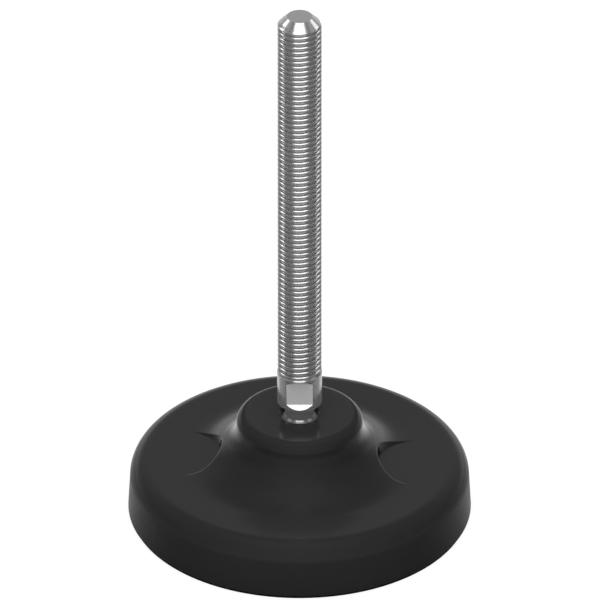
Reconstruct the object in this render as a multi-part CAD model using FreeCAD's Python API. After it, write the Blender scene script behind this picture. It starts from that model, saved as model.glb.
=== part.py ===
import FreeCAD, Part
import math
import os

# Swivel foot: a moulded round base, a turned spindle whose ball snaps into the base,
# and a rubber pad pressed into the underside. Millimetres and degrees, +Z up.
# The origin is the centre of the footprint, on the floor. The two fixing wells lie on X.

# Base: the outside
BASE_DIAMETER = 123.0
EDGE_CHAMFER_WIDTH = 0.5
EDGE_CHAMFER_HEIGHT = 0.45
WALL_DRAFT = 3.1
RIM_ROUND = 6.9
PLATE_HEIGHT = 20.9
FLARE_ROUND = 24.0
FLARE_SPLIT_ANGLE = 45.0
BOSS_DIAMETER = 45.4
BOSS_HEIGHT = 40.0
BOSS_ROUND = 4.0

# Base: the two wells for the fixing screws
WELL_DIAMETER = 28.6
WELL_SPACING = 84.4
WELL_EDGE_ROUND = 0.65
WELL_OVERCUT = 3.0
FIXING_BOSS_DIAMETER = 18.0
PILOT_DIAMETER = 9.0
PILOT_MEMBRANE = 4.0

# Base: the hollow underside
WALL_THICKNESS = 5.0
PLATE_THICKNESS = 5.0
CAVITY_DRAFT = 2.0
BOSS_WALL = 5.5
BOSS_ROOF = 6.0
RISE_DIAMETER = 55.0
RIB_COUNT = 8
RIB_THICKNESS = 2.6
RING_RIB_DIAMETER = 62.0
HUB_DIAMETER = 24.0
HUB_CORE_DIAMETER = 14.0
SOCKET_FLOOR = 4.5

# Ball joint
BALL_DIAMETER = 14.0
BALL_DEPTH = 4.7
BALL_CLEARANCE = 0.05
THROAT_DIAMETER = 13.4
MOUTH_CHAMFER = 0.75

# Spindle
NECK_DIAMETER = 10.5
NECK_REACH = 9.1
NECK_ROUND = 0.5
COLLAR_DIAMETER = 16.05
COLLAR_CHAMFER = 1.0
FLATS_ABOVE_COLLAR_FOOT = 3.1
FLATS_HEIGHT = 8.4
ACROSS_FLATS = 13.0
FLATS_TURN = 4.4
STUD_DIAMETER = 15.7
STUD_LENGTH = 148.0
STUD_SHOULDER = 2.1
SHOULDER_TAPER = 0.2
TIP_CHAMFER = 3.3

# Rubber pad
PAD_THICKNESS = 3.0
PAD_LIP_THICKNESS = 0.9
PAD_LIP_INSET = 0.3
PAD_CORE_DIAMETER = 114.6
PAD_CLEARANCE = 0.2
GROOVE_COUNT = 4
GROOVE_WIDTH = 3.6
GROOVE_DEPTH = 1.0
TREAD_BORDER = 5.3
PLUG_COUNT = 4
PLUG_CIRCLE_DIAMETER = 88.8
PLUG_DIAMETER = 4.9
PLUG_LENGTH = 6.0
PLUG_TIP = 1.0
PLUG_CLEARANCE = 0.05
PLUG_SOCKET_WALL = 2.0
PLUG_SOCKET_SPARE = 2.0

# Heights that several pieces share
SEAT_HEIGHT = PAD_THICKNESS
BALL_HEIGHT = BOSS_HEIGHT - BALL_DEPTH
COLLAR_FOOT = BALL_HEIGHT + NECK_REACH
FLATS_FOOT = COLLAR_FOOT + FLATS_ABOVE_COLLAR_FOOT
FLATS_TOP = FLATS_FOOT + FLATS_HEIGHT
STUD_FOOT = FLATS_TOP + STUD_SHOULDER
STUD_TOP = STUD_FOOT + STUD_LENGTH

UP = FreeCAD.Vector(0, 0, 1)
ORIGIN = FreeCAD.Vector(0, 0, 0)


def point(radius, height):
    """A point of a turned outline, in the XZ plane."""
    return FreeCAD.Vector(radius, 0, height)


def on_circle(centre, radius, degrees):
    """The point of a round at an angle above the radial direction."""
    turn = math.radians(degrees)
    return centre + point(radius * math.cos(turn), radius * math.sin(turn))


def straight(start, end):
    return Part.LineSegment(start, end).toShape()


def rounded(centre, radius, start_degrees, end_degrees):
    """An arc of an outline, from one angle to the other."""
    start = on_circle(centre, radius, start_degrees)
    middle = on_circle(centre, radius, (start_degrees + end_degrees) / 2)
    end = on_circle(centre, radius, end_degrees)
    return Part.Arc(start, middle, end).toShape()


def turned(edges):
    """The solid of revolution of a closed outline about Z."""
    face = Part.Face(Part.Wire(edges))
    return face.revolve(ORIGIN, UP, 360)


def turned_polygon(points):
    closed = points + points[:1]
    edges = [straight(a, b) for a, b in zip(closed, closed[1:])]
    return turned(edges)


def cylinder(diameter, foot, top, x=0.0, y=0.0):
    return Part.makeCylinder(diameter / 2, top - foot, FreeCAD.Vector(x, y, foot), UP)


def around(solid, count, first_degrees):
    """Copies of a solid, evenly turned about Z."""
    copies = []
    for index in range(count):
        copy = solid.copy()
        copy.rotate(ORIGIN, UP, first_degrees + 360.0 * index / count)
        copies.append(copy)
    return copies


def flare_arcs(boss_radius, side_top):
    """The hollow sweep from the plate up to the boss: a wide round, then a tighter one."""
    split = math.radians(FLARE_SPLIT_ANGLE)
    rise = side_top - PLATE_HEIGHT
    upper_round = (rise - FLARE_ROUND * (1 - math.cos(split))) / math.cos(split)
    run = upper_round * (1 - math.sin(split)) + FLARE_ROUND * math.sin(split)
    lower = point(boss_radius + run, PLATE_HEIGHT + FLARE_ROUND)
    upper = point(boss_radius + upper_round, side_top)
    turn = -90 - FLARE_SPLIT_ANGLE
    return [
        rounded(lower, FLARE_ROUND, -90, turn),
        rounded(upper, upper_round, turn, -180),
    ]


def flare_foot():
    """The point where the flare leaves the plate."""
    flare = flare_arcs(BOSS_DIAMETER / 2, BOSS_HEIGHT - BOSS_ROUND)
    return flare[0].Vertexes[0].Point


def base_body():
    """The outside of the base as one turned solid."""
    radius = BASE_DIAMETER / 2
    draft = math.radians(WALL_DRAFT)
    wall_foot = PAD_LIP_THICKNESS + EDGE_CHAMFER_HEIGHT
    rim_height = PLATE_HEIGHT - RIM_ROUND
    wall_lean = (rim_height - wall_foot) * math.tan(draft)
    rim = point(radius - wall_lean - RIM_ROUND / math.cos(draft), rim_height)
    wall_top = on_circle(rim, RIM_ROUND, WALL_DRAFT)
    boss_radius = BOSS_DIAMETER / 2
    side_top = BOSS_HEIGHT - BOSS_ROUND
    boss = point(boss_radius - BOSS_ROUND, side_top)
    flare = flare_arcs(boss_radius, side_top)
    edge_foot = point(radius - EDGE_CHAMFER_WIDTH, PAD_LIP_THICKNESS)
    edge_top = point(radius, wall_foot)
    axis_foot = point(0, PAD_LIP_THICKNESS)
    axis_top = point(0, BOSS_HEIGHT)
    body = turned([
        straight(axis_foot, edge_foot),
        straight(edge_foot, edge_top),
        straight(edge_top, wall_top),
        rounded(rim, RIM_ROUND, WALL_DRAFT, 90),
        straight(on_circle(rim, RIM_ROUND, 90), flare_foot()),
        *flare,
        rounded(boss, BOSS_ROUND, 0, 90),
        straight(on_circle(boss, BOSS_ROUND, 90), axis_top),
        straight(axis_top, axis_foot),
    ])
    # The seam of the turned faces lies at the back, clear of the two wells.
    body.rotate(ORIGIN, UP, 90)
    return body


def wells(diameter, foot, top):
    """The space of both wells, as far out as the flare goes."""
    outer = flare_foot().x + WELL_OVERCUT
    whole = cylinder(diameter, foot, top, WELL_SPACING / 2)
    corner = FreeCAD.Vector(outer - 2 * diameter, -diameter, foot)
    inner_side = Part.makeBox(2 * diameter, 2 * diameter, top - foot, corner)
    return around(whole.common(inner_side), 2, 0)


def is_well_edge(edge):
    """Whether an edge is a stretch of the upper edge of a well."""
    first, last = edge.ParameterRange
    places = [edge.valueAt(first), edge.valueAt((first + last) / 2), edge.valueAt(last)]
    radii = [math.hypot(abs(place.x) - WELL_SPACING / 2, place.y) for place in places]
    on_wall = all(abs(radius - WELL_DIAMETER / 2) < 0.01 for radius in radii)
    return on_wall and edge.BoundBox.ZMin > PLATE_HEIGHT - 0.1


def with_wells(body):
    """Cuts the two upright wells into the flare and rounds their upper edge.

    The wall of a well gets lower than that round where the flare runs out. So the well is
    cut too deep at first, rounded all along, and then filled up level with the plate.
    """
    foot = PLATE_HEIGHT - WELL_OVERCUT
    deep = body.cut(wells(WELL_DIAMETER, foot, BOSS_HEIGHT))
    edges = [edge for edge in deep.Edges if is_well_edge(edge)]
    soft = deep.makeFillet(WELL_EDGE_ROUND, edges)
    filling = wells(WELL_DIAMETER + 4 * WELL_EDGE_ROUND, foot, PLATE_HEIGHT)
    return soft.fuse(filling).removeSplitter()


def socket():
    """The space for the ball, with a throat that it snaps past and a chamfered mouth."""
    ball_radius = BALL_DIAMETER / 2 + BALL_CLEARANCE
    throat = THROAT_DIAMETER / 2
    centre = point(0, BALL_HEIGHT)
    throat_angle = math.degrees(math.acos(throat / ball_radius))
    foot = on_circle(centre, ball_radius, -90)
    throat_foot = on_circle(centre, ball_radius, throat_angle)
    throat_top = point(throat, BOSS_HEIGHT - MOUTH_CHAMFER)
    mouth = point(throat + MOUTH_CHAMFER, BOSS_HEIGHT)
    mouth_centre = point(0, BOSS_HEIGHT)
    return turned([
        rounded(centre, ball_radius, -90, throat_angle),
        straight(throat_foot, throat_top),
        straight(throat_top, mouth),
        straight(mouth, mouth_centre),
        straight(mouth_centre, foot),
    ])


def cavity():
    """The hollow under the plate and the boss, before the ribs are left standing in it."""
    ceiling = PLATE_HEIGHT - PLATE_THICKNESS
    roof = BOSS_HEIGHT - BOSS_ROOF
    wall_foot = BASE_DIAMETER / 2 - WALL_THICKNESS
    wall_lean = (ceiling - SEAT_HEIGHT) * math.tan(math.radians(CAVITY_DRAFT))
    boss_inside = BOSS_DIAMETER / 2 - BOSS_WALL
    return turned_polygon([
        point(0, SEAT_HEIGHT),
        point(wall_foot, SEAT_HEIGHT),
        point(wall_foot - wall_lean, ceiling),
        point(RISE_DIAMETER / 2, ceiling),
        point(boss_inside, roof),
        point(0, roof),
    ])


def ribs():
    """Straight ribs from the hub to the wall, and the ring that ties them together."""
    reach = BASE_DIAMETER / 2
    corner = FreeCAD.Vector(0, -RIB_THICKNESS / 2, SEAT_HEIGHT)
    rib = Part.makeBox(reach, RIB_THICKNESS, BOSS_HEIGHT - SEAT_HEIGHT, corner)
    ring = cylinder(RING_RIB_DIAMETER + RIB_THICKNESS, SEAT_HEIGHT, PLATE_HEIGHT)
    ring = ring.cut(cylinder(RING_RIB_DIAMETER - RIB_THICKNESS, SEAT_HEIGHT, PLATE_HEIGHT))
    return around(rib, RIB_COUNT, 0) + [ring]


def bosses():
    """The solid columns in the hollow: the hub, the fixing bosses and the plug sockets."""
    hub = cylinder(HUB_DIAMETER, SEAT_HEIGHT, BOSS_HEIGHT)
    fixing = cylinder(FIXING_BOSS_DIAMETER, SEAT_HEIGHT, PLATE_HEIGHT, WELL_SPACING / 2)
    tube_diameter = PLUG_DIAMETER + 2 * (PLUG_CLEARANCE + PLUG_SOCKET_WALL)
    tube = cylinder(tube_diameter, SEAT_HEIGHT, PLATE_HEIGHT, PLUG_CIRCLE_DIAMETER / 2)
    return [hub] + around(fixing, 2, 0) + around(tube, PLUG_COUNT, 180.0 / PLUG_COUNT)


def underside_holes():
    """The holes that open downwards: the core, the blind pilots and the plug bores."""
    core_top = BALL_HEIGHT - BALL_DIAMETER / 2 - BALL_CLEARANCE - SOCKET_FLOOR
    core = cylinder(HUB_CORE_DIAMETER, SEAT_HEIGHT, core_top)
    pilot_top = PLATE_HEIGHT - PILOT_MEMBRANE
    pilot = cylinder(PILOT_DIAMETER, SEAT_HEIGHT, pilot_top, WELL_SPACING / 2)
    bore_top = SEAT_HEIGHT + PLUG_LENGTH + PLUG_SOCKET_SPARE
    bore_diameter = PLUG_DIAMETER + 2 * PLUG_CLEARANCE
    bore = cylinder(bore_diameter, SEAT_HEIGHT, bore_top, PLUG_CIRCLE_DIAMETER / 2)
    return [core] + around(pilot, 2, 0) + around(bore, PLUG_COUNT, 180.0 / PLUG_COUNT)


def pad_recess():
    """The shallow recess in which the thick middle of the pad lies."""
    diameter = PAD_CORE_DIAMETER + 2 * PAD_CLEARANCE
    return cylinder(diameter, PAD_LIP_THICKNESS, SEAT_HEIGHT)


def base():
    hollow = cavity().cut(ribs() + bosses())
    removed = [socket(), hollow, pad_recess()] + underside_holes()
    return with_wells(base_body()).cut(removed).removeSplitter()


def wrench_flat():
    """The cut for one wrench flat on the +X side, with ends that slope at 45 degrees."""
    flat = ACROSS_FLATS / 2
    depth = COLLAR_DIAMETER / 2 - flat
    beyond = 2 * depth
    outline = [
        FreeCAD.Vector(flat, -COLLAR_DIAMETER, FLATS_FOOT),
        FreeCAD.Vector(flat, -COLLAR_DIAMETER, FLATS_TOP),
        FreeCAD.Vector(flat + beyond, -COLLAR_DIAMETER, FLATS_TOP + beyond),
        FreeCAD.Vector(flat + beyond, -COLLAR_DIAMETER, FLATS_FOOT - beyond),
    ]
    edges = [straight(a, b) for a, b in zip(outline, outline[1:] + outline[:1])]
    return Part.Face(Part.Wire(edges)).extrude(FreeCAD.Vector(0, 2 * COLLAR_DIAMETER, 0))


def spindle():
    """One turned piece: the ball, the neck, the collar and the stud with its chamfer."""
    ball_radius = BALL_DIAMETER / 2
    neck = NECK_DIAMETER / 2
    collar = COLLAR_DIAMETER / 2
    stud = STUD_DIAMETER / 2
    centre = point(0, BALL_HEIGHT)
    neck_angle = math.degrees(math.acos(neck / ball_radius))
    neck_foot = on_circle(centre, ball_radius, neck_angle)
    fillet = point(neck + NECK_ROUND, COLLAR_FOOT - NECK_ROUND)
    collar_foot = point(collar - COLLAR_CHAMFER, COLLAR_FOOT)
    collar_edge = point(collar, COLLAR_FOOT + COLLAR_CHAMFER)
    collar_top = point(collar, STUD_FOOT - SHOULDER_TAPER)
    stud_foot = point(stud, STUD_FOOT)
    stud_edge = point(stud, STUD_TOP - TIP_CHAMFER)
    tip_edge = point(stud - TIP_CHAMFER, STUD_TOP)
    tip = point(0, STUD_TOP)
    body = turned([
        rounded(centre, ball_radius, -90, neck_angle),
        straight(neck_foot, on_circle(fillet, NECK_ROUND, 180)),
        rounded(fillet, NECK_ROUND, 180, 90),
        straight(on_circle(fillet, NECK_ROUND, 90), collar_foot),
        straight(collar_foot, collar_edge),
        straight(collar_edge, collar_top),
        straight(collar_top, stud_foot),
        straight(stud_foot, stud_edge),
        straight(stud_edge, tip_edge),
        straight(tip_edge, tip),
        straight(tip, on_circle(centre, ball_radius, -90)),
    ])
    flats = around(wrench_flat(), 2, FLATS_TURN - 90)
    return body.cut(flats)


def pad_plug():
    """One round plug that holds the pad in its socket."""
    radius = PLUG_DIAMETER / 2
    top = PAD_THICKNESS + PLUG_LENGTH
    plug = turned_polygon([
        point(0, PAD_LIP_THICKNESS),
        point(radius, PAD_LIP_THICKNESS),
        point(radius, top - PLUG_TIP),
        point(radius - PLUG_TIP, top),
        point(0, top),
    ])
    plug.translate(FreeCAD.Vector(PLUG_CIRCLE_DIAMETER / 2, 0, 0))
    return plug


def tread_grooves():
    """The ring grooves of the tread, evenly spaced inside the plain border of the core."""
    outermost = PAD_CORE_DIAMETER - 2 * TREAD_BORDER - GROOVE_WIDTH
    grooves = []
    for index in range(1, GROOVE_COUNT + 1):
        middle = outermost * index / GROOVE_COUNT
        ring = cylinder(middle + GROOVE_WIDTH, 0, GROOVE_DEPTH)
        grooves.append(ring.cut(cylinder(middle - GROOVE_WIDTH, 0, GROOVE_DEPTH)))
    return grooves


def anti_slip_pad():
    """The pad: a thin lip under the wall, a thick middle in the recess, and its plugs."""
    lip = BASE_DIAMETER / 2 - EDGE_CHAMFER_WIDTH - PAD_LIP_INSET
    core = PAD_CORE_DIAMETER / 2
    disc = turned_polygon([
        point(0, 0),
        point(lip, 0),
        point(lip, PAD_LIP_THICKNESS),
        point(core, PAD_LIP_THICKNESS),
        point(core, PAD_THICKNESS),
        point(0, PAD_THICKNESS),
    ])
    plugs = around(pad_plug(), PLUG_COUNT, 180.0 / PLUG_COUNT)
    return disc.fuse(plugs).cut(tread_grooves()).removeSplitter()


def write(name, shape):
    """Checks that a piece is one closed solid, and writes its file."""
    solid = shape.Solids[0]
    if len(shape.Solids) != 1 or not solid.isValid():
        raise ValueError(f"{name} is not one valid solid")
    solid.exportStep(f"parts/{name}.step")
    print(f"{name}: {solid.Volume / 1000:.1f} cubic centimetres")


def main():
    os.makedirs("parts", exist_ok=True)
    write("base", base())
    write("spindle", spindle())
    write("anti_slip_pad", anti_slip_pad())


main()
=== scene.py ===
# %% [markdown]
# # A swivel foot: black moulded base, turned steel spindle, rubber pad
#
# The solids of the foot already exist, packed as a fixed frame: a base, a spindle whose
# ball sits in the base, and a pad pressed into the underside. This script gives each
# visible surface its finish, cuts the thread of the spindle, and sets up the studio.
# Everything is in metres and in the frame's own place, so nothing is moved to fit.

# %% The frame and its box
import math

import bmesh
import bpy
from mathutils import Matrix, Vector


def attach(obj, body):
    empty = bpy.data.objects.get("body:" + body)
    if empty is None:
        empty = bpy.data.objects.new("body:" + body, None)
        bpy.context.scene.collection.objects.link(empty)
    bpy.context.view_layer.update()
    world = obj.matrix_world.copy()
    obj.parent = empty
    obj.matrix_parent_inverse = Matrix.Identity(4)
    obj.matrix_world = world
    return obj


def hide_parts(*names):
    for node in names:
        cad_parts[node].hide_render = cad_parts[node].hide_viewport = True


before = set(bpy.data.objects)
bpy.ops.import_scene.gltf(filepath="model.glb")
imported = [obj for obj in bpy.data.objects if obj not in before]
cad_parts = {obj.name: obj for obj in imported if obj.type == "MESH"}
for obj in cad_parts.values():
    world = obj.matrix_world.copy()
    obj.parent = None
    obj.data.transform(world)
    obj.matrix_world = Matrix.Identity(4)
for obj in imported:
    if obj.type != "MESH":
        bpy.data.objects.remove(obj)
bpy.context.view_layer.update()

MM = 0.001

# %% [markdown]
# ## The camera
#
# Foot and spindle were photographed from far away with a long lens, so upright lines stay
# parallel and the round base is a clean ellipse. The ratio of that ellipse's axes gives
# the height of the camera, about 32 degrees above the floor, and the wrench flat on the
# spindle and the two wells show that it stands a little to the right. A very long lens
# far away gives the same flat look, and it also works for the views from other sides.

# %% The camera, from its angles and the point that it looks at
CAMERA_AZIMUTH = math.radians(4.39)
CAMERA_ELEVATION = math.radians(31.884)
CAMERA_DISTANCE = 8.9277
CAMERA_LENS = 1500.0
CAMERA_CLIP = (0.1, 30.0)
AIM_RIGHT_OF_AXIS = 0.145 * MM
AIM_HEIGHT = 87.573 * MM


def make_camera():
    """A camera that looks down at the foot, turned about the spindle's axis."""
    level = math.cos(CAMERA_ELEVATION)
    towards_camera = Vector((
        math.sin(CAMERA_AZIMUTH) * level,
        -math.cos(CAMERA_AZIMUTH) * level,
        math.sin(CAMERA_ELEVATION),
    ))
    to_the_right = Vector((math.cos(CAMERA_AZIMUTH), math.sin(CAMERA_AZIMUTH), 0))
    aim = to_the_right * AIM_RIGHT_OF_AXIS + Vector((0, 0, AIM_HEIGHT))
    data = bpy.data.cameras.new("camera")
    data.lens = CAMERA_LENS
    data.clip_start, data.clip_end = CAMERA_CLIP
    camera = bpy.data.objects.new("camera", data)
    camera.location = aim + towards_camera * CAMERA_DISTANCE
    camera.rotation_euler = (math.pi / 2 - CAMERA_ELEVATION, 0, CAMERA_AZIMUTH)
    bpy.context.scene.collection.objects.link(camera)
    bpy.context.scene.camera = camera
    return camera


camera = make_camera()
print("camera at", [round(value, 3) for value in camera.location])

# %% [markdown]
# ## The studio
#
# A black glossy part shows its surroundings more than its own colour, so the studio is
# modelled as what the part reflects. Behind the part stands a pale wall that ends less
# than half way up. Its upper edge draws the step of brightness that runs round each soft
# edge of the moulding, and a brighter strip along its foot lights what is seen at a
# glancing angle. The sides are dark, and a cove on the camera's side gets darker with
# height. Two softboxes, one overhead and one beside the camera, give the even light that
# shows the part's own colour, and are kept out of reflections.
#
# Steel has next to no colour of its own and needs bright shapes to mirror. The spindle
# therefore has panels and scrims of its own, and light linking keeps them off the base.
# What the camera sees behind the part is plain white.

# %% Helpers for node trees
def add(tree, kind, inputs=None, **settings):
    """Adds a node, with its settings and the plain values of its inputs."""
    node = tree.nodes.new(kind)
    for name, value in settings.items():
        setattr(node, name, value)
    for key, value in (inputs or {}).items():
        node.inputs[key].default_value = value
    return node


def maths(tree, operation, first, second=None, third=None, clamp=False):
    """A Math node whose inputs are sockets or plain numbers."""
    node = tree.nodes.new("ShaderNodeMath")
    node.operation = operation
    node.use_clamp = clamp
    for index, value in enumerate((first, second, third)):
        if value is None:
            continue
        if isinstance(value, (int, float)):
            node.inputs[index].default_value = value
        else:
            tree.links.new(value, node.inputs[index])
    return node.outputs[0]


def grey_ramp(tree, place, stops):
    """A ramp of greys. Each stop is a place from 0 to 1 and a brightness."""
    ramp = add(tree, "ShaderNodeValToRGB")
    elements = ramp.color_ramp.elements
    while len(elements) < len(stops):
        elements.new(0.5)
    for element, (position, level) in zip(elements, stops):
        element.position = position
        element.color = (level, level, level, 1)
    tree.links.new(place, ramp.inputs[0])
    return ramp.outputs[0]


def mixed(tree, share, first, second):
    """A shader that goes from the first to the second one as the share goes from 0 to 1."""
    mix = add(tree, "ShaderNodeMixShader")
    for index, value in enumerate((share, first, second)):
        tree.links.new(value, mix.inputs[index])
    return mix.outputs[0]


def empty_material(name):
    """A material with a node tree that has nothing in it yet."""
    material = bpy.data.materials.new(name)
    material.use_nodes = True
    material.node_tree.nodes.clear()
    return material, material.node_tree


def away_from_camera(tree, parts):
    """How far a place or a direction reaches away from the camera, on the level."""
    along_x = maths(tree, "MULTIPLY", parts.outputs["X"], -math.sin(CAMERA_AZIMUTH))
    return maths(tree, "MULTIPLY_ADD", parts.outputs["Y"], math.cos(CAMERA_AZIMUTH), along_x)


print("helpers are ready")

# %% The walls of the studio, by their height above the floor in degrees
BACKDROP_WHITE = 1.0
BACK_WALL = (
    (0, 1.0), (8, 0.8), (16, 0.38), (23, 0.28), (37, 0.32), (46, 0.07), (56, 0.02), (90, 0.06),
)
SIDE_WALLS = ((0, 0.0), (15, 0.04), (60, 0.03), (90, 0.06))
FRONT_COVE = ((0, 0.40), (9, 0.35), (32, 0.28), (62, 0.22), (78, 0.16), (90, 0.06))
STRAIGHT_UP = 0.000001


def studio_walls():
    """Greys by height for the back, the sides and the front, and white for the camera."""
    world = bpy.data.worlds.new("studio")
    bpy.context.scene.world = world
    world.use_nodes = True
    tree = world.node_tree
    tree.nodes.clear()
    direction = add(tree, "ShaderNodeTexCoord")
    parts = add(tree, "ShaderNodeSeparateXYZ")
    tree.links.new(direction.outputs["Generated"], parts.inputs[0])
    along = away_from_camera(tree, parts)
    rise_squared = maths(tree, "MULTIPLY", parts.outputs["Z"], parts.outputs["Z"])
    level_squared = maths(tree, "SUBTRACT", 1.0, rise_squared)
    level_squared = maths(tree, "MAXIMUM", level_squared, STRAIGHT_UP)
    away = maths(tree, "DIVIDE", along, maths(tree, "SQRT", level_squared))
    to_back = maths(tree, "MAXIMUM", away, 0.0)
    to_front = maths(tree, "MINIMUM", away, 0.0)
    back_share = maths(tree, "MULTIPLY", to_back, to_back)
    front_share = maths(tree, "MULTIPLY", to_front, to_front)
    side_share = maths(tree, "SUBTRACT", maths(tree, "SUBTRACT", 1.0, back_share), front_share)
    height = maths(tree, "DIVIDE", maths(tree, "ARCSINE", parts.outputs["Z"]), math.pi / 2)
    level = 0.0
    walls = ((back_share, BACK_WALL), (side_share, SIDE_WALLS), (front_share, FRONT_COVE))
    for share, wall in walls:
        grey = grey_ramp(tree, height, [(degrees / 90, value) for degrees, value in wall])
        level = maths(tree, "MULTIPLY_ADD", share, grey, level)
    cove = add(tree, "ShaderNodeBackground")
    white = add(tree, "ShaderNodeBackground", {"Strength": BACKDROP_WHITE, "Color": (1, 1, 1, 1)})
    path = add(tree, "ShaderNodeLightPath")
    output = add(tree, "ShaderNodeOutputWorld")
    tree.links.new(level, cove.inputs["Color"])
    studio = mixed(tree, path.outputs["Is Camera Ray"], cove.outputs[0], white.outputs[0])
    tree.links.new(studio, output.inputs["Surface"])


studio_walls()
bpy.context.scene.view_settings.view_transform = "Standard"
print("studio walls are up")

# %% The softboxes
LIGHT_DISTANCE = 1.3
FILLS = (
    # name, azimuth, elevation, width, height, brightness
    ("overhead_fill", 0, 89, 0.9, 0.9, 5.8),
    ("front_fill", -12, 35, 0.9, 0.9, 1.1),
)
STEEL_PANELS = (
    ("overhead_panel", 0, 89.9, 0.75, 0.75, 1.7),
    ("front_panel", 0, 62, 1.05, 0.86, 1.7),
    ("left_panel", -114, 36, 0.42, 0.46, 2.3),
    ("right_panel", 116, 36, 0.42, 0.46, 1.6),
    ("left_scrim", -80, 34, 0.6, 0.8, 0.28),
    ("right_scrim", 80, 34, 0.6, 0.8, 0.28),
)


def softbox(name, azimuth, elevation, width, height, brightness):
    """A rectangle of light that faces the part. Azimuth 0 is the camera's side."""
    turn = math.radians(azimuth) + CAMERA_AZIMUTH
    lift = math.radians(elevation)
    place = Vector((
        math.sin(turn) * math.cos(lift),
        -math.cos(turn) * math.cos(lift),
        math.sin(lift),
    )) * LIGHT_DISTANCE
    data = bpy.data.lights.new(name, "AREA")
    data.shape = "RECTANGLE"
    data.size = width
    data.size_y = height
    data.energy = brightness * math.pi * width * height
    light = bpy.data.objects.new(name, data)
    light.location = place
    light.rotation_euler = (-place).to_track_quat("-Z", "Y").to_euler()
    light.visible_camera = False
    bpy.context.scene.collection.objects.link(light)
    return light


steel_pieces = bpy.data.collections.new("steel_pieces")
for fill in FILLS:
    softbox(*fill).visible_glossy = False
for panel in STEEL_PANELS:
    softbox(*panel).light_linking.receiver_collection = steel_pieces
print(len(FILLS), "fills and", len(STEEL_PANELS), "panels for the steel")

# %% [markdown]
# ## The floor
#
# The product stands on plain white. A floor that is only lit would be grey in the corners,
# so the floor gives off most of its white itself to the camera, and takes the rest from
# the light, which keeps a soft shadow under the rim. In reflections the floor is a card.
# Close to the part, where the wall of the base mirrors it, the card is black in front and
# pale beside it, and it is brightest behind, where only the flare looks. Further out,
# where the steel mirrors it, it is pale in front and behind and darker at the sides. From
# below the floor is clear, so the tread can be seen.

# %% The greys of the card, by place near the part and by side further out
NEAR_REACH = (0.070, 0.160)
NEAR_FROM = -0.050
NEAR_LENGTH = 0.150
NEAR_FLOOR = ((-0.045, 0.02), (-0.022, 0.20), (0.0, 0.34), (0.032, 0.36), (0.055, 0.85))
FAR_FLOOR = ((-1.0, 0.44), (-0.85, 0.40), (-0.6, 0.25), (0.0, 0.17), (0.5, 0.26), (1.0, 0.62))


def card_grey(tree):
    """The brightness of the floor where a reflection meets it."""
    place = add(tree, "ShaderNodeTexCoord")
    parts = add(tree, "ShaderNodeSeparateXYZ")
    distance = add(tree, "ShaderNodeVectorMath", operation="LENGTH")
    tree.links.new(place.outputs["Object"], parts.inputs[0])
    tree.links.new(place.outputs["Object"], distance.inputs[0])
    along = away_from_camera(tree, parts)
    behind = maths(tree, "DIVIDE", maths(tree, "SUBTRACT", along, NEAR_FROM), NEAR_LENGTH)
    near_stops = [((reach - NEAR_FROM) / NEAR_LENGTH, grey) for reach, grey in NEAR_FLOOR]
    side = maths(tree, "DIVIDE", along, maths(tree, "MAXIMUM", distance.outputs["Value"], MM))
    side = maths(tree, "MULTIPLY_ADD", side, 0.5, 0.5)
    far_stops = [(0.5 + 0.5 * side_cosine, grey) for side_cosine, grey in FAR_FLOOR]
    near, far = grey_ramp(tree, behind, near_stops), grey_ramp(tree, side, far_stops)
    from_near, to_far = NEAR_REACH
    farther = maths(tree, "SUBTRACT", distance.outputs["Value"], from_near)
    farther = maths(tree, "DIVIDE", farther, to_far - from_near, clamp=True)
    grey = add(tree, "ShaderNodeMix", data_type="RGBA")
    tree.links.new(farther, grey.inputs[0])
    tree.links.new(near, grey.inputs[6])
    tree.links.new(far, grey.inputs[7])
    return grey.outputs[2]


print("card:", len(NEAR_FLOOR), "greys near the part,", len(FAR_FLOOR), "further out")

# %% A wide pale floor that keeps the shadow
FLOOR_HALF_WIDTH = 12.0
FLOOR_GAP = 0.02 * MM
FLOOR_OWN_WHITE = 0.85
FLOOR_GLOW = 1.08
FLOOR_COLOUR = (0.90, 0.90, 0.90, 1)


def floor_material():
    """White and lit for the camera, a grey card in reflections, and clear from below."""
    material, tree = empty_material("studio_floor")
    paint = add(tree, "ShaderNodeBsdfDiffuse", {"Color": FLOOR_COLOUR})
    glow = add(tree, "ShaderNodeEmission", {"Color": (1, 1, 1, 1), "Strength": FLOOR_GLOW})
    path = add(tree, "ShaderNodeLightPath")
    own_white = maths(tree, "MULTIPLY", path.outputs["Is Camera Ray"], FLOOR_OWN_WHITE)
    seen = mixed(tree, own_white, paint.outputs[0], glow.outputs[0])
    card = add(tree, "ShaderNodeEmission")
    tree.links.new(card_grey(tree), card.inputs["Color"])
    upper_side = mixed(tree, path.outputs["Is Glossy Ray"], seen, card.outputs[0])
    side = add(tree, "ShaderNodeNewGeometry")
    clear = add(tree, "ShaderNodeBsdfTransparent")
    both_sides = mixed(tree, side.outputs["Backfacing"], upper_side, clear.outputs[0])
    output = add(tree, "ShaderNodeOutputMaterial")
    tree.links.new(both_sides, output.inputs["Surface"])
    return material


def make_floor():
    """One large square just below the pad, so that the two faces don't coincide."""
    mesh = bpy.data.meshes.new("floor")
    reach = FLOOR_HALF_WIDTH
    corners = [
        (x, y, -FLOOR_GAP)
        for x, y in ((-reach, -reach), (reach, -reach), (reach, reach), (-reach, reach))
    ]
    mesh.from_pydata(corners, [], [(0, 1, 2, 3)])
    mesh.materials.append(floor_material())
    floor = bpy.data.objects.new("floor", mesh)
    bpy.context.scene.collection.objects.link(floor)


make_floor()
print("floor is down")

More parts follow.
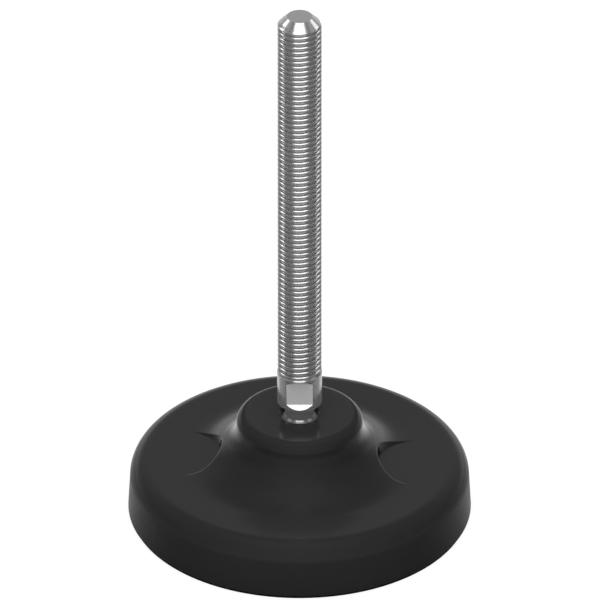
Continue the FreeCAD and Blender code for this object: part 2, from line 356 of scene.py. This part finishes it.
# %% [markdown]
# ## A flag round the neck
#
# The base is left out of reflections further down, so the neck and the ball would mirror
# the pale floor through it. Photographers hold a dark card, called a flag, close to a
# shiny part to keep something bright out of it. Here the flag is a dark ring just under
# the top of the boss, with a short tube inside the socket. Only reflections see it.

# %% The flag
FLAG_GREY = 0.09
FLAG_SEGMENTS = 48
FLAG_SECTION = (
    # radius, height
    (7.6 * MM, 30.0 * MM),
    (7.6 * MM, 39.9 * MM),
    (22.6 * MM, 39.9 * MM),
)


def make_flag():
    """A ring and a tube that only reflections see."""
    material, tree = empty_material("studio_flag")
    card = add(tree, "ShaderNodeEmission", {"Color": (FLAG_GREY, FLAG_GREY, FLAG_GREY, 1)})
    output = add(tree, "ShaderNodeOutputMaterial")
    tree.links.new(card.outputs[0], output.inputs["Surface"])
    corners = []
    for segment in range(FLAG_SEGMENTS):
        turn = 2 * math.pi * segment / FLAG_SEGMENTS
        for radius, height in FLAG_SECTION:
            corners.append((radius * math.cos(turn), radius * math.sin(turn), height))
    count = len(FLAG_SECTION)
    faces = []
    for segment in range(FLAG_SEGMENTS):
        here, beside = count * segment, count * ((segment + 1) % FLAG_SEGMENTS)
        for step in range(count - 1):
            faces.append((here + step, here + step + 1, beside + step + 1, beside + step))
    mesh = bpy.data.meshes.new("flag")
    mesh.from_pydata(corners, [], faces)
    mesh.materials.append(material)
    flag = bpy.data.objects.new("flag", mesh)
    for ray in ("camera", "diffuse", "transmission", "shadow", "volume_scatter"):
        setattr(flag, "visible_" + ray, False)
    bpy.context.scene.collection.objects.link(flag)


make_flag()
print("flag is up")

# %% [markdown]
# ## Finishes that more than one piece shares
#
# Moulded plastic and rubber copy the fine spark-eroded skin of their steel mould. It is
# too small for geometry, so it is a texture that lifts the surface by a hundredth of a
# millimetre at most and makes the gloss slightly uneven. Two sizes of noise, one for the
# height and one for the gloss, look less even and so more real than one.

# %% The grain of a moulded skin, as a group
def group_with(name, inputs, outputs):
    """A shader node group with named float inputs and named outputs."""
    group = bpy.data.node_groups.new(name, "ShaderNodeTree")
    for label, default in inputs:
        socket = group.interface.new_socket(
            name=label, in_out="INPUT", socket_type="NodeSocketFloat")
        socket.default_value = default
    for label in outputs:
        group.interface.new_socket(name=label, in_out="OUTPUT", socket_type="NodeSocketFloat")
    start = group.nodes.new("NodeGroupInput")
    end = group.nodes.new("NodeGroupOutput")
    return group, start, end


def uneven_roughness(group, start, noise):
    """The roughness of the group's input, lifted and lowered by a noise."""
    centred = maths(group, "SUBTRACT", noise.outputs[0], 0.5)
    unevenness, roughness = start.outputs["Unevenness"], start.outputs["Roughness"]
    return maths(group, "MULTIPLY_ADD", centred, unevenness, roughness)


def make_moulded_skin():
    """Fine grain and a broad mottling, for the height and the roughness of a moulding."""
    group, start, end = group_with(
        "moulded_skin",
        (("Grain Scale", 4000.0), ("Mottle Scale", 60.0), ("Roughness", 0.4), ("Unevenness", 0.06)),
        ("Height", "Roughness"),
    )
    place = add(group, "ShaderNodeTexCoord")
    grain = add(group, "ShaderNodeTexNoise", {"Detail": 2.0, "Roughness": 0.6})
    mottle = add(group, "ShaderNodeTexNoise", {"Detail": 3.0, "Roughness": 0.55})
    link = group.links.new
    link(place.outputs["Object"], grain.inputs["Vector"])
    link(place.outputs["Object"], mottle.inputs["Vector"])
    link(start.outputs["Grain Scale"], grain.inputs["Scale"])
    link(start.outputs["Mottle Scale"], mottle.inputs["Scale"])
    link(grain.outputs[0], end.inputs["Height"])
    link(uneven_roughness(group, start, mottle), end.inputs["Roughness"])
    return group


moulded_skin = make_moulded_skin()
print("group:", moulded_skin.name)

# %% [markdown]
# ## Black glass-filled nylon
#
# The base is injection moulded. Nylon filled with glass fibre is a deep neutral black with
# a satin gloss: the fibres break up the surface, so it reflects less than a polished part
# and blurs the edges of what it mirrors. The photograph shows no reflection of the base
# in itself: the flare mirrors the pale floor as if the plate weren't there, which gives
# the two bright spots beside the boss. Hiding the base from glossy rays does the same.

# %% The material of the base
def new_principled(name):
    """A material with an empty Principled shader that is ready to be filled."""
    material, tree = empty_material(name)
    shader = add(tree, "ShaderNodeBsdfPrincipled")
    output = add(tree, "ShaderNodeOutputMaterial")
    tree.links.new(shader.outputs[0], output.inputs["Surface"])
    return material, tree, shader


def add_skin(tree, shader, bump_distance, values):
    """Puts the moulded skin on a Principled shader."""
    skin = add(tree, "ShaderNodeGroup", node_tree=moulded_skin)
    for key, value in values.items():
        skin.inputs[key].default_value = value
    bump = add(tree, "ShaderNodeBump", {"Distance": bump_distance, "Strength": 1.0})
    tree.links.new(skin.outputs["Height"], bump.inputs["Height"])
    tree.links.new(skin.outputs["Roughness"], shader.inputs["Roughness"])
    tree.links.new(bump.outputs[0], shader.inputs["Normal"])


def black_nylon():
    material, tree, shader = new_principled("black_nylon")
    shader.inputs["Base Color"].default_value = (0.025, 0.025, 0.026, 1)
    shader.inputs["Specular IOR Level"].default_value = 0.28
    add_skin(tree, shader, 0.003 * MM, {
        "Grain Scale": 3500.0,
        "Mottle Scale": 70.0,
        "Roughness": 0.18,
        "Unevenness": 0.05,
    })
    return material


def dress(node, material):
    """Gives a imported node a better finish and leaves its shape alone."""
    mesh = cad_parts[node].data
    mesh.materials.clear()
    mesh.materials.append(material)


dress("base", black_nylon())
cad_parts["base"].visible_glossy = False
print("base is dressed")

# %% [markdown]
# ## Black rubber
#
# The pad shows only as a thin dark line under the wall, and from below as a disc with ring
# grooves. Rubber is darker and duller than the nylon.

# %% The material of the pad
def black_rubber():
    material, tree, shader = new_principled("black_rubber")
    shader.inputs["Base Color"].default_value = (0.008, 0.008, 0.008, 1)
    shader.inputs["Specular IOR Level"].default_value = 0.2
    add_skin(tree, shader, 0.01 * MM, {
        "Grain Scale": 2500.0,
        "Mottle Scale": 40.0,
        "Roughness": 0.75,
        "Unevenness": 0.08,
    })
    return material


dress("anti_slip_pad", black_rubber())
print("pad is dressed")

# %% [markdown]
# ## Turned steel
#
# The spindle is one bar of stainless steel, turned on a lathe. The tool leaves fine rings
# round the bar, and they blur a reflection up and down but not round the bar. The rings
# are a noise of the height alone, so it changes quickly up the bar and not at all round
# it. The wrench flats are milled. The cutter leaves the same kind of fine marks straight
# across them, so they use the same group. They are duller from the milling, and paler by
# a painted highlight: their light colour stands in for light on the flats.

# %% The rings of the lathe, as a group
def make_lathe_rings():
    """Fine rings about the spindle's axis, for height, roughness and brightness."""
    group, start, end = group_with(
        "lathe_rings",
        (("Ring Scale", 9000.0), ("Roughness", 0.3), ("Unevenness", 0.1), ("Shade Depth", 0.1)),
        ("Height", "Roughness", "Shade"),
    )
    place = add(group, "ShaderNodeTexCoord")
    parts = add(group, "ShaderNodeSeparateXYZ")
    rings = add(group, "ShaderNodeTexNoise", {"Scale": 1.0, "Detail": 2.0}, noise_dimensions="1D")
    patches = add(group, "ShaderNodeTexNoise", {"Scale": 220.0, "Detail": 2.0})
    link = group.links.new
    link(place.outputs["Object"], parts.inputs[0])
    link(place.outputs["Object"], patches.inputs["Vector"])
    height = maths(group, "MULTIPLY", parts.outputs["Z"], start.outputs["Ring Scale"])
    link(height, rings.inputs["W"])
    dark = maths(group, "MULTIPLY", rings.outputs[0], start.outputs["Shade Depth"])
    link(rings.outputs[0], end.inputs["Height"])
    link(uneven_roughness(group, start, patches), end.inputs["Roughness"])
    link(maths(group, "SUBTRACT", 1.0, dark), end.inputs["Shade"])
    return group


lathe_rings = make_lathe_rings()
print("group:", lathe_rings.name)

# %% Turned steel, and milled steel with a painted highlight
def steel(name, colour, metallic, roughness, ring_depth):
    """Bare steel with the marks of its machining."""
    material, tree, shader = new_principled(name)
    shader.inputs["Metallic"].default_value = metallic
    rings = add(tree, "ShaderNodeGroup", node_tree=lathe_rings)
    rings.inputs["Roughness"].default_value = roughness
    tint = add(tree, "ShaderNodeMix", data_type="RGBA", blend_type="MULTIPLY")
    tint.inputs[0].default_value = 1.0
    tint.inputs[6].default_value = (colour, colour, colour * 1.01, 1)
    bump = add(tree, "ShaderNodeBump", {"Distance": ring_depth, "Strength": 1.0})
    tree.links.new(rings.outputs["Shade"], tint.inputs[7])
    tree.links.new(tint.outputs[2], shader.inputs["Base Color"])
    tree.links.new(rings.outputs["Roughness"], shader.inputs["Roughness"])
    tree.links.new(rings.outputs["Height"], bump.inputs["Height"])
    tree.links.new(bump.outputs[0], shader.inputs["Normal"])
    return material


turned_steel = steel("turned_steel", 0.62, 0.85, 0.18, 0.0005 * MM)
# The flats are rougher from the milling. Their paler colour and lower metallic are a painted
# highlight that brightens them.
milled_steel_painted_highlight = steel("milled_steel_painted_highlight", 0.86, 0.5, 0.34, 0.002 * MM)
print("steels:", turned_steel.name, milled_steel_painted_highlight.name)

# %% [markdown]
# ## The thread
#
# A thread is one groove that winds round the bar, two millimetres higher with each turn.
# The easiest mesh for it follows the groove: a sheet of points whose rows climb by one
# pitch from one side to the other, rolled up so that each row meets the row one turn
# above it. Geometry Nodes do this with one grid and one Set Position. Rows that would
# pass an end are held at that end and merged away. The groove fades out over less than
# a turn at the foot, and at the tip the chamfer limits the radius. The flanks are a little
# fuller near the crest than a plain V, because there they mirror the panel in front, and
# the start is turned so that each crest stands at the height where the photograph has it.

# %% The sizes of the thread and of the spindle
PITCH = 2.0 * MM
CREST_RADIUS = 7.85 * MM
ROOT_RADIUS = 6.77 * MM
THREAD_FOOT = 58.0 * MM
THREAD_TOP = 206.0 * MM
TIP_RADIUS = 4.55 * MM
RUN_OUT = 1.4 * MM
START_TURN = 0.714
SEGMENTS = 64
ROWS_PER_TURN = 16
print("thread:", round((THREAD_TOP - THREAD_FOOT) / PITCH), "turns of", PITCH / MM, "mm")

# %% The depth of the groove, by place along its turn
CREST_HALF_WIDTH = 1 / 16
ROOT_HALF_WIDTH = 1 / 8
UPPER_SLOPE = 2.23
LOWER_SLOPE = 4.44
OFF_THE_JUMP = 0.0001


def groove_depth(tree, get, turn, height):
    """How deep the tool has cut: nothing at the crest, all at the root, less at the foot."""
    shift = 0.5 - CREST_HALF_WIDTH + OFF_THE_JUMP
    phase = maths(tree, "FRACT", maths(tree, "ADD", turn, shift))
    from_crest = maths(tree, "ABSOLUTE", maths(tree, "SUBTRACT", phase, 0.5))
    past_crest = maths(tree, "SUBTRACT", from_crest, CREST_HALF_WIDTH)
    upper = maths(tree, "MULTIPLY", past_crest, UPPER_SLOPE)
    from_root = maths(tree, "SUBTRACT", 0.5 - ROOT_HALF_WIDTH, from_crest)
    lower = maths(tree, "SUBTRACT", 1.0, maths(tree, "MULTIPLY", from_root, LOWER_SLOPE))
    groove = maths(tree, "MAXIMUM", upper, lower)
    groove = maths(tree, "MINIMUM", maths(tree, "MAXIMUM", groove, 0.0), 1.0)
    above_foot = maths(tree, "SUBTRACT", height, get["Foot"])
    fade = maths(tree, "DIVIDE", above_foot, get["Run Out"], clamp=True)
    depth = maths(tree, "SUBTRACT", get["Crest Radius"], get["Root Radius"])
    return maths(tree, "MULTIPLY", maths(tree, "MULTIPLY", depth, fade), groove)


print("crest flat:", PITCH * 2 * CREST_HALF_WIDTH / MM, "mm")

# %% The thread as a Geometry Nodes tree
WELD_DISTANCE = 0.002 * MM
LAST_ROW = 0.99999
THREAD_INPUTS = (
    ("Pitch", PITCH),
    ("Crest Radius", CREST_RADIUS),
    ("Root Radius", ROOT_RADIUS),
    ("Foot", THREAD_FOOT),
    ("Top", THREAD_TOP),
    ("Tip Radius", TIP_RADIUS),
    ("Run Out", RUN_OUT),
    ("Start Turn", START_TURN),
)


def make_thread_tree(material):
    """A right-hand thread between two heights, with a chamfered and closed tip."""
    tree = bpy.data.node_groups.new("cut_thread", "GeometryNodeTree")
    face = tree.interface
    for label, default in THREAD_INPUTS:
        socket = face.new_socket(name=label, in_out="INPUT", socket_type="NodeSocketFloat")
        socket.default_value = default
    face.new_socket(name="Segments", in_out="INPUT", socket_type="NodeSocketInt")
    face.new_socket(name="Rows Per Turn", in_out="INPUT", socket_type="NodeSocketInt")
    face.new_socket(name="Mesh", in_out="OUTPUT", socket_type="NodeSocketGeometry")
    start = tree.nodes.new("NodeGroupInput")
    end = tree.nodes.new("NodeGroupOutput")
    get = start.outputs
    link = tree.links.new

    reach = maths(tree, "SUBTRACT", get["Top"], get["Foot"])
    turns = maths(tree, "CEIL", maths(tree, "DIVIDE", reach, get["Pitch"]))
    turns = maths(tree, "ADD", turns, 3.0)
    intervals = maths(tree, "MULTIPLY", turns, get["Rows Per Turn"])
    grid = tree.nodes.new("GeometryNodeMeshGrid")
    grid.inputs["Size X"].default_value = 1.0
    grid.inputs["Size Y"].default_value = 1.0
    link(maths(tree, "ADD", get["Segments"], 1.0), grid.inputs["Vertices X"])
    link(maths(tree, "ADD", intervals, 1.0), grid.inputs["Vertices Y"])

    place = tree.nodes.new("GeometryNodeInputPosition")
    split = tree.nodes.new("ShaderNodeSeparateXYZ")
    link(place.outputs[0], split.inputs[0])
    across = maths(tree, "ADD", split.outputs["X"], 0.5)
    along = maths(tree, "ADD", split.outputs["Y"], 0.5)
    turn = maths(tree, "MULTIPLY", along, turns)
    climb = maths(tree, "ADD", maths(tree, "ADD", turn, across), get["Start Turn"])
    climb = maths(tree, "SUBTRACT", climb, 2.0)
    free_height = maths(tree, "MULTIPLY_ADD", climb, get["Pitch"], get["Foot"])
    height = maths(tree, "MINIMUM", free_height, get["Top"])
    height = maths(tree, "MAXIMUM", height, get["Foot"])

    depth = groove_depth(tree, get, turn, height)
    cut_radius = maths(tree, "SUBTRACT", get["Crest Radius"], depth)
    below_top = maths(tree, "SUBTRACT", get["Top"], height)
    chamfer = maths(tree, "ADD", get["Tip Radius"], below_top)
    radius = maths(tree, "MINIMUM", cut_radius, chamfer)
    not_last = maths(tree, "LESS_THAN", along, LAST_ROW)
    radius = maths(tree, "MULTIPLY", radius, not_last)

    angle = maths(tree, "MULTIPLY", across, 2 * math.pi)
    spot = tree.nodes.new("ShaderNodeCombineXYZ")
    link(maths(tree, "MULTIPLY", maths(tree, "COSINE", angle), radius), spot.inputs["X"])
    link(maths(tree, "MULTIPLY", maths(tree, "SINE", angle), radius), spot.inputs["Y"])
    link(height, spot.inputs["Z"])
    roll = tree.nodes.new("GeometryNodeSetPosition")
    weld = tree.nodes.new("GeometryNodeMergeByDistance")
    weld.inputs["Distance"].default_value = WELD_DISTANCE
    smooth = tree.nodes.new("GeometryNodeSetShadeSmooth")
    finish = tree.nodes.new("GeometryNodeSetMaterial")
    finish.inputs["Material"].default_value = material
    whole = tree.nodes.new("GeometryNodeRealizeInstances")
    link(grid.outputs["Mesh"], roll.inputs["Geometry"])
    link(spot.outputs[0], roll.inputs["Position"])
    link(roll.outputs[0], weld.inputs["Geometry"])
    link(weld.outputs[0], smooth.inputs[0])
    link(smooth.outputs[0], whole.inputs[0])
    link(whole.outputs[0], finish.inputs["Geometry"])
    link(finish.outputs[0], end.inputs["Mesh"])
    return tree


thread_tree = make_thread_tree(turned_steel)
print("tree:", thread_tree.name, "with", len(thread_tree.nodes), "nodes")

# %% From the tree to a plain mesh
def nodes_to_mesh(tree, values):
    """Runs a Geometry Nodes tree on an empty object and returns its result as a mesh."""
    host = bpy.data.objects.new("host", bpy.data.meshes.new("host"))
    bpy.context.scene.collection.objects.link(host)
    modifier = host.modifiers.new("nodes", "NODES")
    modifier.node_group = tree
    for item in tree.interface.items_tree:
        if item.in_out == "INPUT" and item.name in values:
            modifier[item.identifier] = values[item.name]
    evaluated = host.evaluated_get(bpy.context.evaluated_depsgraph_get())
    mesh = bpy.data.meshes.new_from_object(evaluated)
    bpy.data.objects.remove(host)
    return mesh


thread_values = dict(THREAD_INPUTS, Segments=SEGMENTS)
thread_values["Rows Per Turn"] = ROWS_PER_TURN
thread_mesh = nodes_to_mesh(thread_tree, thread_values)
print("thread:", len(thread_mesh.polygons), "faces")

# %% [markdown]
# ## The ball, the neck and the collar
#
# Below the thread the spindle is plain turned work: a collar, a thin neck and the ball.
# Its outline is drawn once and spun round the axis with as many segments as the thread
# has, so that the two weld together in one closed skin. The wrench flats are then cut
# with two wedge-ended blocks, whose faces carry the milled finish and its painted highlight.

# %% The outline of the turned foot of the spindle
BALL_RADIUS = 7.0 * MM
BALL_HEIGHT = 35.3 * MM
NECK_RADIUS = 5.25 * MM
COLLAR_RADIUS = 8.025 * MM
COLLAR_FOOT = 44.4 * MM
COLLAR_CHAMFER = 1.0 * MM
SHOULDER_TAPER = 0.2 * MM
NECK_ROUND = 0.5 * MM
SOFT_EDGE = 0.12 * MM


def arc(centre_radius, centre_height, radius, start, stop, steps):
    """Points of an arc in the outline, from one angle to another in degrees."""
    points = []
    for step in range(steps + 1):
        turn = math.radians(start + (stop - start) * step / steps)
        points.append((
            centre_radius + radius * math.cos(turn),
            centre_height + radius * math.sin(turn),
        ))
    return points


def turned_outline():
    """Radius and height, from the bottom of the ball to the foot of the thread."""
    neck_angle = math.degrees(math.acos(NECK_RADIUS / BALL_RADIUS))
    fillet = (NECK_RADIUS + NECK_ROUND, COLLAR_FOOT - NECK_ROUND)
    edge = COLLAR_RADIUS - COLLAR_CHAMFER
    outline = arc(0, BALL_HEIGHT, BALL_RADIUS, -90, neck_angle, 24)
    outline += arc(*fillet, NECK_ROUND, 180, 90, 4)
    outline += [(edge - SOFT_EDGE, COLLAR_FOOT), (edge, COLLAR_FOOT + SOFT_EDGE)]
    outline += [
        (COLLAR_RADIUS - SOFT_EDGE, COLLAR_FOOT + COLLAR_CHAMFER - SOFT_EDGE),
        (COLLAR_RADIUS, COLLAR_FOOT + COLLAR_CHAMFER + SOFT_EDGE),
        (COLLAR_RADIUS, THREAD_FOOT - SHOULDER_TAPER),
        (CREST_RADIUS, THREAD_FOOT),
    ]
    return outline


def spin(outline, name):
    """Spins an outline about the axis. The first point lies on the axis."""
    work = bmesh.new()
    rings = []
    pole = work.verts.new((0, 0, outline[0][1]))
    for radius, height in outline[1:]:
        ring = []
        for segment in range(SEGMENTS):
            turn = 2 * math.pi * segment / SEGMENTS
            ring.append(work.verts.new((radius * math.cos(turn), radius * math.sin(turn), height)))
        rings.append(ring)
    for segment in range(SEGMENTS):
        beside = (segment + 1) % SEGMENTS
        work.faces.new((pole, rings[0][beside], rings[0][segment]))
        for lower, upper in zip(rings, rings[1:]):
            work.faces.new((lower[segment], lower[beside], upper[beside], upper[segment]))
    work.faces.new(rings[-1])
    mesh = bpy.data.meshes.new(name)
    work.to_mesh(mesh)
    work.free()
    return mesh


foot_mesh = spin(turned_outline(), "turned_foot")
foot_mesh.materials.append(turned_steel)
print("turned foot:", len(foot_mesh.polygons), "faces")

# %% The blocks that cut the wrench flats
ACROSS_FLATS = 13.0 * MM
FLATS_FOOT = 47.5 * MM
FLATS_TOP = 55.9 * MM
FLATS_TURN = math.radians(4.4)
BLOCK_DEPTH = 4.0 * MM
BLOCK_HALF_WIDTH = 10.0 * MM


def flat_cutter():
    """Two blocks with 45 degree ends, one on each side of the spindle."""
    flat = ACROSS_FLATS / 2
    section = [
        (flat, FLATS_FOOT),
        (flat, FLATS_TOP),
        (flat + BLOCK_DEPTH, FLATS_TOP + BLOCK_DEPTH),
        (flat + BLOCK_DEPTH, FLATS_FOOT - BLOCK_DEPTH),
    ]
    work = bmesh.new()
    for side in (0, math.pi):
        turn = FLATS_TURN - math.pi / 2 + side
        outward = Vector((math.cos(turn), math.sin(turn), 0))
        along = Vector((-math.sin(turn), math.cos(turn), 0))
        ends = []
        for shift in (-BLOCK_HALF_WIDTH, BLOCK_HALF_WIDTH):
            ends.append([
                work.verts.new(outward * out + along * shift + Vector((0, 0, height)))
                for out, height in section
            ])
        work.faces.new(ends[0])
        work.faces.new(list(reversed(ends[1])))
        for first in range(4):
            second = (first + 1) % 4
            work.faces.new((ends[0][second], ends[0][first], ends[1][first], ends[1][second]))
    bmesh.ops.recalc_face_normals(work, faces=work.faces)
    mesh = bpy.data.meshes.new("flat_cutter")
    work.to_mesh(mesh)
    work.free()
    mesh.materials.append(turned_steel)
    mesh.materials.append(milled_steel_painted_highlight)
    for polygon in mesh.polygons:
        polygon.material_index = 1
    cutter = bpy.data.objects.new("flat_cutter", mesh)
    bpy.context.scene.collection.objects.link(cutter)
    return cutter


cutter = flat_cutter()
print("blocks:", len(cutter.data.polygons), "faces")

# %% The flats are cut
def cut(mesh, cutter):
    """Cuts one closed mesh out of another and returns the result as a plain mesh."""
    piece = bpy.data.objects.new("piece", mesh)
    bpy.context.scene.collection.objects.link(piece)
    modifier = piece.modifiers.new("cut", "BOOLEAN")
    modifier.operation = "DIFFERENCE"
    modifier.solver = "EXACT"
    modifier.object = cutter
    evaluated = piece.evaluated_get(bpy.context.evaluated_depsgraph_get())
    result = bpy.data.meshes.new_from_object(evaluated)
    bpy.data.objects.remove(piece)
    bpy.data.objects.remove(cutter)
    return result


foot_mesh.materials.append(milled_steel_painted_highlight)
foot_mesh = cut(foot_mesh, cutter)
print("with its flats:", len(foot_mesh.polygons), "faces")

# %% The spindle in one piece
TOUCH = 0.001 * MM
CRISP_ANGLE = math.radians(22)


def join_spindle():
    """Welds the thread to the turned foot and marks the edges that stay crisp."""
    work = bmesh.new()
    work.from_mesh(foot_mesh)
    cap = [face for face in work.faces
           if all(abs(vertex.co.z - THREAD_FOOT) < TOUCH for vertex in face.verts)]
    bmesh.ops.delete(work, geom=cap, context="FACES_ONLY")
    foot_faces = set(work.faces)
    work.from_mesh(thread_mesh)
    for face in work.faces:
        if face not in foot_faces:
            face.material_index = 0
    bmesh.ops.remove_doubles(work, verts=work.verts, dist=WELD_DISTANCE)
    for face in work.faces:
        face.smooth = True
    for edge in work.edges:
        if len(edge.link_faces) < 2:
            continue
        low = min(vertex.co.z for vertex in edge.verts)
        on_tip = low > THREAD_TOP - TOUCH
        in_foot = low < THREAD_FOOT + TOUCH
        bent = edge.calc_face_angle(0) > CRISP_ANGLE
        edge.smooth = not (bent and (on_tip or in_foot))
    open_edges = sum(1 for edge in work.edges if len(edge.link_faces) != 2)
    mesh = bpy.data.meshes.new("turned_spindle")
    work.to_mesh(mesh)
    work.free()
    mesh.materials.append(turned_steel)
    mesh.materials.append(milled_steel_painted_highlight)
    piece = bpy.data.objects.new("turned_spindle", mesh)
    bpy.context.scene.collection.objects.link(piece)
    print("spindle:", len(mesh.polygons), "faces,", open_edges, "open edges")
    return piece


spindle = join_spindle()
steel_pieces.objects.link(spindle)
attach(spindle, "spindle")
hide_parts("spindle")
